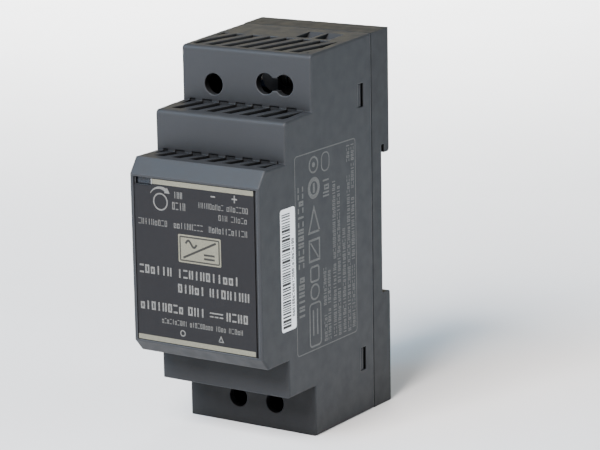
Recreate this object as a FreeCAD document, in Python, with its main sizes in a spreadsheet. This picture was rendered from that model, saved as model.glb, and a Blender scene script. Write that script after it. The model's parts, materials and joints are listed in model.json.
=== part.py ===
import FreeCAD, Part
import os
import re
import Sketcher

# A slim power supply for a 35 mm top-hat rail: a stepped case of two shells, a sliding rail foot,
# and one circuit board that carries the terminals and everything between them.
# Frame: +X to the right, -Y out of the front, +Z up, millimetres. The origin is on the bottom face,
# in the middle of the width and of the depth. "Depth" runs forward from the rear face, and "out"
# runs forward from the board's component side.

SIZES = {
    # case
    "width": 35.0,
    "height": 90.0,
    "depth": 54.5,
    "wall": 1.8,
    "parting_depth": 7.8,
    "parting_groove": 0.3,
    "shoulder_depth": 33.2,
    "step_depth": 44.0,
    "step_bottom": 11.8,
    "nose_bottom": 20.5,
    "nose_top": 65.5,
    "step_top": 75.4,
    "top_slope": 0.056,
    "chamfer_run": 2.5,
    "chamfer_top": 3.5,
    "chamfer_bottom": 2.8,
    "edge_radius": 0.45,
    "brow_radius": 1.0,
    # printed panel and indicator window in the nose
    "panel_left": -16.5,
    "panel_right": 16.6,
    "panel_bottom": 23.7,
    "panel_top": 61.5,
    "panel_recess": 0.45,
    "label_gap": 0.1,
    "label_right": 15.9,
    "label_thickness": 0.3,
    "lens_left": -16.1,
    "lens_right": -11.9,
    "lens_bottom": 59.75,
    "pipe_radius": 0.65,
    # serial number sticker on the right side
    "sticker_rear": 40.7,
    "sticker_front": 46.6,
    "sticker_bottom": 27.6,
    "sticker_top": 55.6,
    "sticker_thickness": 0.08,
    # vents
    "vent_pitch": 4.6,
    "vent_width": 2.7,
    "vent_slant": 21.0,
    "vent_reach": 15.6,
    "vent_rise": 0.5,
    "vent_notch": 0.3,
    # screwdriver holes and wire entries
    "minus_x": 5.3,
    "plus_x": 10.38,
    "output_z": 80.8,
    "neutral_x": -3.9,
    "line_x": 6.26,
    "input_z": 6.3,
    "tool_radius": 2.45,
    "tool_neck": 2.95,
    "adjust_x": -8.8,
    "adjust_z": 79.6,
    "adjust_radius": 2.5,
    "entry_width": 4.2,
    "entry_rear": 12.6,
    "entry_front": 17.2,
    "entry_ramp": 11.0,
    "entry_ramp_drop": 1.2,
    # snap joint between the shells
    "snap_upper": 75.9,
    "snap_lower": 13.25,
    "snap_window": 5.5,
    "snap_rear": 11.2,
    "snap_front": 13.5,
    "snap_gap": 1.0,
    "nib_recess": 0.12,
    "nib_gap": 0.06,
    "nib_ramp": 0.12,
    "arm_width": 5.2,
    "arm_thickness": 1.2,
    "arm_play": 0.15,
    # rail channel, rail hook and rail foot
    "seat_depth": 3.4,
    "channel_bottom": 27.2,
    "channel_top": 62.8,
    "hook_drop": 2.0,
    "hook_thickness": 2.2,
    "foot_half": 6.0,
    "flange_half": 7.8,
    "foot_play": 0.2,
    "foot_rear": 0.3,
    "flange_rear": 1.7,
    "flange_front": 4.3,
    "foot_bottom": 0.8,
    "latch_top": 29.4,
    "latch_front": 2.1,
    "spring_window_low": 10.6,
    "spring_low": 12.4,
    "spring_high": 22.0,
    "spring_radius": 0.95,
    "spring_wire": 0.18,
    "spring_turns": 9,
    "spring_depth": 3.0,
    # circuit board
    "board_rear": 8.6,
    "board_thickness": 1.6,
    "board_half": 14.1,
    "board_bottom": 2.6,
    "board_top": 87.0,
    "post_radius": 1.8,
    "post_pin": 0.95,
    "post_x": 12.0,
    "post_low": 4.6,
    "post_high": 85.0,
    "post_inner_x": -0.6,
    # terminals
    "block_out": 14.2,
    "block_margin": 2.4,
    "block_inner": 3.9,
    "output_block_top": 86.7,
    "input_block_bottom": 2.3,
    "chamber_half": 2.05,
    "chamber_reach": 2.7,
    "chamber_out": 10.6,
    "shelf_out": 11.6,
    "screw_radius": 1.5,
    "screw_head": 1.95,
    "screw_end": 5.95,
    "cage_half": 1.9,
    "cage_reach": 2.45,
    "cage_low": 1.2,
    "cage_high": 7.6,
    "cage_floor": 0.8,
    "cage_roof": 1.6,
    "cage_side": 0.34,
    "bar_out": 5.0,
    "bar_thickness": 0.8,
    "bar_half": 1.2,
    "pin_half": 0.45,
    "pin_hole": 0.75,
    "trimmer_half": 3.3,
    "trimmer_height": 5.0,
    "rotor_radius": 2.0,
    # power parts
    "bulk_radius": 8.0,
    "bulk_length": 26.0,
    "bulk_x": 5.6,
    "bulk_z": 35.6,
    "output_can_radius": 4.0,
    "output_can_length": 16.0,
    "output_can_z": 70.5,
    "sink_thickness": 1.8,
    "sink_out": 30.0,
    "package_out": 8.0,
    "package_height": 15.2,
    "package_half": 5.0,
    "package_thickness": 4.4,
    "tab_thickness": 1.3,
    "package_hole_out": 20.4,
    "fixing_radius": 1.5,
    "core_half": 10.5,
    "core_low": 2.0,
    "core_high": 20.0,
    "core_thickness": 6.0,
    "transformer_x": 1.0,
    "transformer_z": 53.4,
}

doc = FreeCAD.newDocument("PowerSupply")
sheet = doc.addObject("Spreadsheet::Sheet", "Sizes")
nodes = []


def fill_sheet():
    """Write the driving sizes into the sheet, one alias to a row."""
    for row, (alias, size) in enumerate(SIZES.items(), start=1):
        sheet.set(f"A{row}", alias)
        sheet.set(f"B{row}", str(size))
        sheet.setAlias(f"B{row}", alias)
    doc.recompute()


def bound(expression):
    """The expression with every alias pointed at its cell in the sheet."""
    def cell(word):
        return f"Sizes.{word[0]}" if word[0] in SIZES else word[0]
    return re.sub(r"[a-z_]+", cell, str(expression))


def value(expression):
    """The expression's present value."""
    return float(sheet.evalExpression(bound(expression)))


def drive(thing, prop, expression):
    """Bind one property of an object to an expression in the sheet's sizes."""
    thing.setExpression(prop, bound(expression))


def y_at(depth):
    """The y coordinate of a depth."""
    return f"depth / 2 - ({depth})"


def ahead(out):
    """The depth of a distance in front of the board's component side."""
    return f"board_rear + board_thickness + ({out})"


def keep(thing, node):
    """Give a finished sub-part its node name."""
    thing.Label = node
    nodes.append(thing)
    return thing


# ---- solid primitives and booleans -------------------------------------------------------------

def block(name, x, depths, z):
    """A box given by its two ends in x, in depth and in z."""
    box = doc.addObject("Part::Box", name)
    drive(box, "Length", f"({x[1]}) - ({x[0]})")
    drive(box, "Width", f"({depths[1]}) - ({depths[0]})")
    drive(box, "Height", f"({z[1]}) - ({z[0]})")
    drive(box, "Placement.Base.x", x[0])
    drive(box, "Placement.Base.y", y_at(depths[1]))
    drive(box, "Placement.Base.z", z[0])
    return box


def rod_forward(name, radius, x, depths, z):
    """A round rod whose axis runs along the depth."""
    rod = doc.addObject("Part::Cylinder", name)
    rod.Placement = FreeCAD.Placement(FreeCAD.Vector(), FreeCAD.Rotation(FreeCAD.Vector(1, 0, 0), -90))
    drive(rod, "Radius", radius)
    drive(rod, "Height", f"({depths[1]}) - ({depths[0]})")
    drive(rod, "Placement.Base.x", x)
    drive(rod, "Placement.Base.y", y_at(depths[1]))
    drive(rod, "Placement.Base.z", z)
    return rod


def rod_upward(name, radius, x, depth, z):
    """A round rod whose axis runs along z."""
    rod = doc.addObject("Part::Cylinder", name)
    drive(rod, "Radius", radius)
    drive(rod, "Height", f"({z[1]}) - ({z[0]})")
    drive(rod, "Placement.Base.x", x)
    drive(rod, "Placement.Base.y", y_at(depth))
    drive(rod, "Placement.Base.z", z[0])
    return rod


def rod_sideways(name, radius, x, depth, z):
    """A round rod whose axis runs along x."""
    rod = doc.addObject("Part::Cylinder", name)
    rod.Placement = FreeCAD.Placement(FreeCAD.Vector(), FreeCAD.Rotation(FreeCAD.Vector(0, 1, 0), 90))
    drive(rod, "Radius", radius)
    drive(rod, "Height", f"({x[1]}) - ({x[0]})")
    drive(rod, "Placement.Base.x", x[0])
    drive(rod, "Placement.Base.y", y_at(depth))
    drive(rod, "Placement.Base.z", z)
    return rod


def fuse(name, pieces):
    """One solid made of several."""
    joined = doc.addObject("Part::MultiFuse", name)
    joined.Shapes = pieces
    joined.Refine = True
    return joined


def cut(name, base, tools):
    """The base with the tools taken out of it."""
    removed = doc.addObject("Part::Cut", name)
    removed.Base = base
    removed.Tool = tools[0] if len(tools) == 1 else fuse(name + "_tools", tools)
    return removed


def group(name, solids):
    """Identical pieces kept together as separate solids."""
    together = doc.addObject("Part::Compound", name)
    together.Links = solids
    return together


# ---- bodies, sketches and features -------------------------------------------------------------

def new_body(name):
    """An empty body."""
    return doc.addObject("PartDesign::Body", name)


def new_sketch(body, name, role, offset="0"):
    """A sketch on one of the body's origin planes, moved along that plane's normal."""
    sketch = body.newObject("Sketcher::SketchObject", name)
    plane = next(feature for feature in body.Origin.OriginFeatures if feature.Role == role)
    sketch.AttachmentSupport = [(plane, "")]
    sketch.MapMode = "FlatFace"
    drive(sketch, "AttachmentOffset.Base.z", offset)
    return sketch


def pin_point(sketch, geometry, position, u, v):
    """Hold a point of a sketch at the driven coordinates (u, v)."""
    for kind, axis, expression in (("DistanceX", -2, u), ("DistanceY", -1, v)):
        size = value(expression)
        if abs(size) < 1e-9:
            sketch.addConstraint(Sketcher.Constraint("PointOnObject", geometry, position, axis))
        else:
            index = sketch.addConstraint(Sketcher.Constraint(kind, -1, 1, geometry, position, size))
            drive(sketch, f"Constraints[{index}]", expression)


def polygon(sketch, corners):
    """A closed outline with straight sides through driven corners."""
    start = sketch.GeometryCount
    points = [FreeCAD.Vector(value(u), value(v), 0) for u, v in corners]
    count = len(points)
    for index in range(count):
        sketch.addGeometry(Part.LineSegment(points[index], points[(index + 1) % count]))
    for index in range(count):
        following = start + (index + 1) % count
        sketch.addConstraint(Sketcher.Constraint("Coincident", start + index, 2, following, 1))
    for index, (u, v) in enumerate(corners):
        pin_point(sketch, start + index, 1, u, v)


def rectangle(sketch, u, v):
    """A closed rectangle between two driven values of u and two of v."""
    polygon(sketch, [(u[0], v[0]), (u[1], v[0]), (u[1], v[1]), (u[0], v[1])])


def circle(sketch, u, v, radius):
    """A driven circle."""
    centre = FreeCAD.Vector(value(u), value(v), 0)
    index = sketch.addGeometry(Part.Circle(centre, FreeCAD.Vector(0, 0, 1), value(radius)))
    pin_point(sketch, index, 3, u, v)
    size = sketch.addConstraint(Sketcher.Constraint("Radius", index, value(radius)))
    drive(sketch, f"Constraints[{size}]", radius)


def pad(body, sketch, length, symmetric=False, backward=False):
    """Material along the sketch's normal."""
    feature = body.newObject("PartDesign::Pad", sketch.Name + "_pad")
    feature.Profile = sketch
    feature.SideType = "Symmetric" if symmetric else "One side"
    feature.Reversed = backward
    drive(feature, "Length", length)
    doc.recompute()
    return feature


def pocket(body, sketch, length, symmetric=False, forward=False):
    """A hollow against the sketch's normal, or along it when forward is set."""
    before = body.Shape.Volume
    feature = body.newObject("PartDesign::Pocket", sketch.Name + "_pocket")
    feature.Profile = sketch
    feature.SideType = "Symmetric" if symmetric else "One side"
    feature.Reversed = forward
    drive(feature, "Length", length)
    doc.recompute()
    if body.Shape.Volume > before - 1e-6:
        raise RuntimeError(f"{feature.Name} cuts nothing")
    return feature


def round_edges(body, name, radius, wanted):
    """A fillet on every edge of the body that the test picks."""
    base = body.Tip
    picked = [f"Edge{number}" for number, edge in enumerate(base.Shape.Edges, start=1) if wanted(edge)]
    fillet = body.newObject("PartDesign::Fillet", name)
    fillet.Base = (base, picked)
    drive(fillet, "Radius", radius)
    doc.recompute()
    return fillet


def turned(name, x, z, out, profile):
    """A turned body on an axis along the depth; profile is (radius, out) corners from the axis."""
    body = new_body(name)
    sketch = new_sketch(body, name + "_profile", "XY_Plane")
    polygon(sketch, [(radius, f"-({distance})") for radius, distance in profile])
    turn = body.newObject("PartDesign::Revolution", name + "_turn")
    turn.Profile = sketch
    turn.ReferenceAxis = (sketch, ["V_Axis"])
    turn.Angle = 360
    drive(body, "Placement.Base.x", x)
    drive(body, "Placement.Base.y", y_at(ahead(out)))
    drive(body, "Placement.Base.z", z)
    doc.recompute()
    return body


# ---- case --------------------------------------------------------------------------------------

def case_outline(inset):
    """The front shell's side outline as (y, z) corners, moved inwards by the inset."""
    top_front = f"height - top_slope * shoulder_depth - ({inset})"
    top_rear = f"height - top_slope * parting_depth - ({inset})"
    ledge_front = f"step_top - top_slope * (step_depth - shoulder_depth) - ({inset})"
    shoulder = f"shoulder_depth - ({inset})"
    step = f"step_depth - ({inset})"
    corners = [
        ("parting_depth", inset),
        (shoulder, inset),
        (shoulder, f"step_bottom + ({inset})"),
        (step, f"step_bottom + ({inset})"),
        (step, f"nose_bottom + ({inset})"),
        (f"depth - chamfer_run - ({inset}) * 0.4", f"nose_bottom + ({inset})"),
        (f"depth - ({inset})", f"nose_bottom + chamfer_bottom + ({inset}) * 0.4"),
        (f"depth - ({inset})", f"nose_top - chamfer_top - ({inset}) * 0.4"),
        (f"depth - chamfer_run - ({inset}) * 0.4", f"nose_top - ({inset})"),
        (step, f"nose_top - ({inset})"),
        (step, ledge_front),
        (shoulder, f"step_top - ({inset})"),
        (shoulder, top_front),
        ("parting_depth", top_rear),
    ]
    return [(y_at(depth), z) for depth, z in corners]


def vent_field(name, phase, depths, z):
    """Slanted slots side by side, trimmed to a border; the cutter of one row of vents."""
    middle = f"(({depths[0]}) + ({depths[1]})) / 2"
    length = f"(({depths[1]}) - ({depths[0]})) / cos(vent_slant) + 4"
    slots = []
    for number in range(-4, 5):
        slot = doc.addObject("Part::Box", f"{name}_slot")
        slot.Placement = FreeCAD.Placement(FreeCAD.Vector(), FreeCAD.Rotation(FreeCAD.Vector(0, 0, -1), 1))
        drive(slot, "Placement.Rotation.Angle", "vent_slant")
        drive(slot, "Length", "vent_width * cos(vent_slant)")
        drive(slot, "Width", length)
        drive(slot, "Height", f"({z[1]}) - ({z[0]})")
        centre = f"({phase}) + ({number}) * vent_pitch"
        half_width = "vent_width * cos(vent_slant) / 2"
        drive(slot, "Placement.Base.x",
              f"{centre} - cos(vent_slant) * {half_width} - sin(vent_slant) * ({length}) / 2")
        drive(slot, "Placement.Base.y",
              f"{y_at(middle)} + sin(vent_slant) * {half_width} - cos(vent_slant) * ({length}) / 2")
        drive(slot, "Placement.Base.z", z[0])
        slots.append(slot)
    border = block(f"{name}_border", ("-vent_reach", "vent_reach"), depths, z)
    field = doc.addObject("Part::Common", name)
    field.Base = fuse(f"{name}_slots", slots)
    field.Tool = border
    return field


def wire_entry(name, x, face, inward):
    """Cutter for the hole through which a wire reaches its terminal, with a ramp at its rear.

    face is the height of the outer face there, and inward the direction in z into the case, 1 or -1.
    """
    body = new_body(name)
    side = new_sketch(body, name + "_side", "YZ_Plane", x)
    outside = f"{face} - ({inward})"
    inside = f"{face} + ({inward}) * (wall + 1)"
    corners = [
        ("entry_ramp", face),
        ("entry_ramp", outside),
        ("entry_front", outside),
        ("entry_front", inside),
        ("entry_rear", inside),
        ("entry_rear", f"{face} + ({inward}) * entry_ramp_drop"),
    ]
    polygon(side, [(y_at(depth), z) for depth, z in corners])
    pad(body, side, "entry_width", symmetric=True)
    return body


def sorted_z(first, second):
    """Two heights with the lower one first."""
    return (first, second) if value(first) < value(second) else (second, first)


def front_housing():
    """Stepped front shell, open at the back, with its holes, vents and snap windows."""
    body = new_body("front_shell")
    outside = new_sketch(body, "shell_outside", "YZ_Plane")
    polygon(outside, case_outline("0"))
    pad(body, outside, "width", symmetric=True)

    brow_edges = [("shoulder_depth", "height - top_slope * shoulder_depth"),
                  ("step_depth", "step_top - top_slope * (step_depth - shoulder_depth)")]
    brows = [(value(y_at(depth)), value(z)) for depth, z in brow_edges]

    def is_brow(edge):
        box = edge.BoundBox
        return box.XLength > 30 and any(abs(box.YMin - y) < 0.01 and abs(box.ZMin - z) < 0.01
                                        for y, z in brows)
    round_edges(body, "shell_brows", "brow_radius", is_brow)

    parting_y = value(y_at("parting_depth"))
    side_x = value("width / 2")

    def is_side_edge(edge):
        box = edge.BoundBox
        on_side = box.XLength < 0.01 and abs(abs(box.XMin) - side_x) < 0.01
        return on_side and box.YMin < parting_y - 0.01
    round_edges(body, "shell_sides", "edge_radius", is_side_edge)

    inside = new_sketch(body, "shell_inside", "YZ_Plane")
    polygon(inside, case_outline("wall"))
    pocket(body, inside, "width - 2 * wall", symmetric=True)

    panel = new_sketch(body, "shell_panel", "XZ_Plane", "depth / 2")
    rectangle(panel, ("panel_left", "panel_right"), ("panel_bottom", "panel_top"))
    pocket(body, panel, "panel_recess")

    lens = new_sketch(body, "shell_lens", "XZ_Plane", "depth / 2")
    rectangle(lens, ("lens_left", "lens_right"), ("lens_bottom", "panel_top - label_gap"))
    pocket(body, lens, "wall + 0.2")

    shoulder_offset = "shoulder_depth - depth / 2"
    holes = new_sketch(body, "shell_tool_holes", "XZ_Plane", shoulder_offset)
    circle(holes, "adjust_x", "adjust_z", "adjust_radius")
    circle(holes, "minus_x", "output_z", "tool_radius")
    circle(holes, "plus_x", "output_z", "tool_radius")
    circle(holes, "neutral_x", "input_z", "tool_radius")
    circle(holes, "line_x", "input_z", "tool_radius")
    pocket(body, holes, "wall + 0.2")
    neck = new_sketch(body, "shell_neck", "XZ_Plane", shoulder_offset)
    rectangle(neck, ("minus_x", "plus_x"), ("output_z - tool_neck / 2", "output_z + tool_neck / 2"))
    pocket(body, neck, "wall + 0.2")

    windows = new_sketch(body, "shell_windows", "YZ_Plane")
    for centre in ("snap_lower", "snap_upper"):
        rectangle(windows, (y_at("snap_front"), y_at("snap_rear")),
                  (f"{centre} - snap_window / 2", f"{centre} + snap_window / 2"))
    pocket(body, windows, "width + 2", symmetric=True)

    rise = "vent_rise"
    cutters = [
        vent_field("vents_top", "0.5", ("18.6", "31.4"), ("height - 5", "height + 1")),
        vent_field("vents_ledge", "1.55", ("shoulder_depth - vent_notch", "41.2"),
                   ("step_top - 3", f"step_top + {rise}")),
        vent_field("vents_nose", "1.85", ("step_depth - vent_notch", "49.3"),
                   ("nose_top - 3", f"nose_top + {rise}")),
        vent_field("vents_bottom", "0.5", ("21.4", "31.4"), ("-1", "3")),
        vent_field("vents_under_ledge", "1.55", ("shoulder_depth - vent_notch", "41.2"),
                   (f"step_bottom - {rise}", "step_bottom + 3")),
        vent_field("vents_under_nose", "1.85", ("step_depth - vent_notch", "49.3"),
                   (f"nose_bottom - {rise}", "nose_bottom + 3")),
    ]
    top_face = "height - top_slope * entry_ramp"
    cutters += [wire_entry("output_entry", x, top_face, -1) for x in ("minus_x", "plus_x")]
    cutters += [wire_entry("input_entry", x, "0", 1) for x in ("neutral_x", "line_x")]
    return keep(cut("front_housing_cut", body, cutters), "front_housing")


def rear_cover():
    """Rear shell with the rail channel and hook, guides for the foot, posts and snap arms."""
    body = new_body("rear_cover_body")
    outside = new_sketch(body, "cover_outside", "YZ_Plane")
    hook_tip = "channel_top - hook_drop"
    corners = [
        ("0", "0"),
        ("parting_depth", "0"),
        ("parting_depth", "height - top_slope * parting_depth"),
        ("0", "height"),
        ("0", hook_tip),
        ("hook_thickness", hook_tip),
        ("hook_thickness", "channel_top"),
        ("seat_depth", "channel_top"),
        ("seat_depth", "channel_bottom"),
        ("0", "channel_bottom"),
    ]
    polygon(outside, [(y_at(depth), z) for depth, z in corners])
    pad(body, outside, "width", symmetric=True)

    groove = new_sketch(body, "cover_groove", "XZ_Plane", "parting_depth - depth / 2")
    rectangle(groove, ("-width / 2 - 1", "width / 2 + 1"), ("-1", "height + 1"))
    rectangle(groove, ("parting_groove - width / 2", "width / 2 - parting_groove"),
              ("parting_groove", "height - top_slope * parting_depth - parting_groove"))
    pocket(body, groove, "parting_groove")

    rear_y = value(y_at("0"))
    low_z = value("channel_bottom")

    def is_lead_in(edge):
        box = edge.BoundBox
        at_rear = abs(box.YMax - rear_y) < 0.01 and box.YLength < 0.01
        at_tip = abs(box.ZMin - value(hook_tip)) < 0.01 or abs(box.ZMin - low_z) < 0.01
        return box.XLength > 30 and at_rear and at_tip
    round_edges(body, "cover_lead_in", "edge_radius * 1.6", is_lead_in)

    inside = new_sketch(body, "cover_inside", "YZ_Plane")
    floor = "flange_front + 2 * foot_play + wall"
    hollow = [
        ("parting_depth", "wall"),
        ("parting_depth", "height - top_slope * parting_depth - wall"),
        ("wall", "height - wall - 0.1"),
        ("wall", "channel_top + wall"),
        ("seat_depth + wall", "channel_top + wall"),
        ("seat_depth + wall", "channel_bottom - wall"),
        (floor, "channel_bottom - wall"),
        (floor, "wall"),
    ]
    polygon(inside, [(y_at(depth), z) for depth, z in hollow])
    pocket(body, inside, "width - 2 * wall", symmetric=True)

    throat = new_sketch(body, "foot_throat", "XZ_Plane", "-depth / 2")
    rectangle(throat, ("-foot_half - foot_play", "foot_half + foot_play"), ("-1", "channel_bottom + 1"))
    pocket(body, throat, "flange_rear", forward=True)
    guide = new_sketch(body, "foot_guide", "XZ_Plane", "flange_rear - foot_play - depth / 2")
    rectangle(guide, ("-flange_half - foot_play", "flange_half + foot_play"), ("-1", "channel_bottom"))
    pocket(body, guide, "flange_front - flange_rear + 2 * foot_play", forward=True)

    peg = new_sketch(body, "spring_peg", "XZ_Plane", "flange_rear - depth / 2")
    rectangle(peg, ("-spring_radius - 0.6", "spring_radius + 0.6"), ("spring_low - 1.4", "spring_low"))
    pad(body, peg, "flange_front - flange_rear + 1")

    posts = new_sketch(body, "board_posts", "XZ_Plane", "wall / 2 - depth / 2")
    pins = new_sketch(body, "board_pins", "XZ_Plane", "board_rear - 0.5 - depth / 2")
    for x, z in board_post_places():
        circle(posts, x, z, "post_radius")
        circle(pins, x, z, "post_pin")
    pad(body, posts, "board_rear - wall / 2")
    pad(body, pins, "board_thickness + 1.1")

    arm_outer = "width / 2 - wall - arm_play"
    arms = new_sketch(body, "snap_arms", "XZ_Plane", "wall / 2 - depth / 2")
    for centre in ("snap_lower", "snap_upper"):
        for side in ("", "-"):
            ends = (f"{side}({arm_outer})", f"{side}({arm_outer} - arm_thickness)")
            rectangle(arms, ends, (f"{centre} - arm_width / 2", f"{centre} + arm_width / 2"))
    pad(body, arms, "snap_front + 1.2 - wall / 2")

    for label, centre in (("lower", "snap_lower"), ("upper", "snap_upper")):
        nibs = new_sketch(body, f"snap_nibs_{label}", "XY_Plane", centre)
        for side in ("", "-"):
            nose = f"{side}(width / 2 - nib_recess)"
            root = f"{side}({arm_outer} - arm_thickness / 2)"
            foot = f"{side}({arm_outer})"
            polygon(nibs, [
                (root, y_at("snap_rear + snap_gap")),
                (nose, y_at("snap_rear + snap_gap")),
                (nose, y_at("snap_front - nib_gap - nib_ramp")),
                (foot, y_at("snap_front - nib_gap")),
                (root, y_at("snap_front - nib_gap")),
            ])
        pad(body, nibs, "arm_width", symmetric=True)
    return keep(body, "rear_cover")


def board_post_places():
    """Where the rear cover's posts carry the board."""
    return [("-post_x", "post_high"), ("post_inner_x", "post_high"),
            ("-post_x", "post_low"), ("post_x", "post_low")]


def front_label():
    """Printed plate in the nose's recess, notched round the indicator window."""
    floor = "depth - panel_recess"
    plate = block("label_plate", ("panel_left + label_gap", "label_right"),
                  (floor, f"{floor} + label_thickness"),
                  ("panel_bottom + label_gap", "panel_top - label_gap"))
    notch = block("label_notch", ("panel_left", "lens_right + 0.15"), (f"{floor} - 1", "depth + 1"),
                  ("lens_bottom - 0.15", "panel_top + 1"))
    return keep(cut("front_label_cut", plate, [notch]), "front_label")


def indicator_light_pipe():
    """Clear rod that brings the indicator's light to the window, with a flat head in it."""
    play = "0.08"
    head = block("pipe_head", (f"lens_left + {play}", f"lens_right - {play}"),
                 ("depth - wall - 0.15", "depth - wall / 2"),
                 (f"lens_bottom + {play}", f"panel_top - label_gap - {play}"))
    middle_z = "(lens_bottom + panel_top - label_gap) / 2"
    rod = rod_forward("pipe_rod", "pipe_radius", "(lens_left + lens_right) / 2",
                      (ahead("3.6"), "depth - wall"), middle_z)
    return keep(fuse("pipe", [head, rod]), "indicator_light_pipe")


def serial_label():
    """Paper sticker on the right side."""
    return keep(block("sticker", ("width / 2", "width / 2 + sticker_thickness"),
                      ("sticker_rear", "sticker_front"), ("sticker_bottom", "sticker_top")), "serial_label")


# ---- rail foot ---------------------------------------------------------------------------------

def rail_clip():
    """Sliding foot: a flanged plate with a sloped latch, a spring window and a tool slot."""
    body = new_body("rail_clip_body")
    web = new_sketch(body, "foot_web", "XZ_Plane", "foot_rear - depth / 2")
    rectangle(web, ("-foot_half", "foot_half"), ("foot_bottom", "channel_bottom - foot_play"))
    pad(body, web, "flange_front - foot_rear")
    flange = new_sketch(body, "foot_flange", "XZ_Plane", "flange_rear - depth / 2")
    rectangle(flange, ("-flange_half", "flange_half"), ("foot_bottom + 4", "channel_bottom - foot_play"))
    pad(body, flange, "flange_front - flange_rear")
    latch = new_sketch(body, "foot_latch", "YZ_Plane")
    slope = [
        ("foot_rear", "channel_bottom - 2"),
        ("latch_front", "channel_bottom - 2"),
        ("latch_front", "latch_top"),
        ("latch_front - 0.6", "latch_top"),
        ("foot_rear", "channel_bottom + 0.5"),
    ]
    polygon(latch, [(y_at(depth), z) for depth, z in slope])
    pad(body, latch, "2 * foot_half", symmetric=True)
    window = new_sketch(body, "foot_window", "XZ_Plane", "flange_front + 1 - depth / 2")
    rectangle(window, ("-spring_radius - 0.9", "spring_radius + 0.9"), ("spring_window_low", "spring_high"))
    rectangle(window, ("-3", "3"), ("foot_bottom + 1.6", "foot_bottom + 3.4"))
    pocket(body, window, "flange_front + 2")
    grips = new_sketch(body, "foot_grips", "XZ_Plane", "foot_rear - depth / 2")
    for number in range(3):
        low = f"foot_bottom + 4.6 + {number} * 1.4"
        rectangle(grips, ("-foot_half + 1.5", "foot_half - 1.5"), (low, f"{low} + 0.7"))
    pocket(body, grips, "0.5", forward=True)
    return keep(body, "rail_clip")


def clip_spring():
    """Coil spring between the cover's peg and the top of the foot's window."""
    helix = doc.addObject("Part::Helix", "spring_line")
    height = "spring_high - spring_low - 2 * spring_wire - 0.1"
    drive(helix, "Radius", "spring_radius")
    drive(helix, "Height", height)
    drive(helix, "Pitch", f"({height}) / spring_turns")
    ring = doc.addObject("Part::Circle", "spring_section")
    ring.Placement = FreeCAD.Placement(FreeCAD.Vector(), FreeCAD.Rotation(FreeCAD.Vector(1, 0, 0), 90))
    drive(ring, "Radius", "spring_wire")
    drive(ring, "Placement.Base.x", "spring_radius")
    sweep = doc.addObject("Part::Sweep", "spring_coil")
    sweep.Sections = [ring]
    sweep.Spine = (helix, ["Edge1"])
    sweep.Solid = True
    sweep.Frenet = True
    drive(sweep, "Placement.Base.y", y_at("spring_depth"))
    drive(sweep, "Placement.Base.z", "spring_low + spring_wire + 0.05")
    return keep(sweep, "clip_spring")


# ---- circuit board and what stands on it -------------------------------------------------------

def main_board():
    """Circuit board with holes for the cover's pins and the terminals' tails."""
    body = new_body("main_board_body")
    plate = new_sketch(body, "board_plate", "XZ_Plane", "board_rear - depth / 2")
    rectangle(plate, ("-board_half", "board_half"), ("board_bottom", "board_top"))
    for x, z in board_post_places():
        circle(plate, x, z, "post_pin + 0.15")
    for x in ("minus_x", "plus_x"):
        circle(plate, x, "output_z - block_inner - 0.8", "pin_hole")
    for x in ("neutral_x", "line_x"):
        circle(plate, x, "input_z + block_inner + 0.8", "pin_hole")
    pad(body, plate, "board_thickness")
    return keep(body, "main_board")


def insulation_film():
    """Film that keeps the solder side away from the rail."""
    return keep(block("film", ("-13.4", "13.4"), ("6.5", "6.75"), ("18", "72")), "insulation_film")


def status_led():
    """Round indicator behind the light pipe."""
    profile = [("0", "0"), ("1.9", "0"), ("1.9", "1"), ("1.5", "1"), ("1.5", "2.3"), ("0.9", "3.1"),
               ("0", "3.2")]
    x = "(lens_left + lens_right) / 2"
    z = "(lens_bottom + panel_top - label_gap) / 2"
    return keep(turned("led", f"{x} + 0.9", z, "0", profile), "status_led")


def can_capacitor(node, x, z, radius, length):
    """Electrolytic can with a rolled groove near its seal and a dished top."""
    profile = [
        ("0", "0"), (f"{radius} - 0.4", "0"), (radius, "0.4"), (radius, "2"), (f"{radius} - 0.5", "2.4"),
        (radius, "2.8"), (radius, f"{length} - 0.5"), (f"{radius} - 0.5", length),
        (f"{radius} * 0.8", length), (f"{radius} * 0.76", f"{length} - 0.3"), ("0", f"{length} - 0.3"),
    ]
    return keep(turned(node + "_can", x, z, "0", profile), node)


def fuse_and_discs():
    """Round fuse, and the three disc parts that stand on their edge."""
    fuse_profile = [("0", "0"), ("4.2", "0"), ("4.2", "7.2"), ("3.8", "7.7"), ("0", "7.7")]
    keep(turned("fuse_cup", "-9.6", "14.9", "0", fuse_profile), "fuse")
    disc("inrush_thermistor", "-9.4", ("20", "23.8"), "4.4")
    disc("varistor", "-0.7", ("20", "23.4"), "3.8")
    disc("y_capacitor", "-5.6", ("62.2", "65.2"), "3.4")


def disc(node, x, z, radius):
    """A coated disc on two wire legs."""
    body = rod_upward(node + "_disc", radius, x, ahead(f"{radius} + 1.6"), z)
    middle = f"(({z[0]}) + ({z[1]})) / 2"
    legs = [rod_forward(node + "_leg", "0.35", f"{x} + ({offset})", (ahead("-2.2"), ahead("3")), middle)
            for offset in ("-2.2", "2.2")]
    return keep(fuse(node + "_fused", [body] + legs), node)


def x_capacitor():
    """Box-shaped interference capacitor."""
    box = block("x_box", ("0.6", "13.6"), (ahead("0"), ahead("12")), ("12.6", "18.4"))
    rim = block("x_rim", ("1.2", "13"), (ahead("-1"), ahead("0.6")), ("13.2", "17.8"))
    return keep(cut("x_cut", box, [rim]), "x_capacitor")


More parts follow.
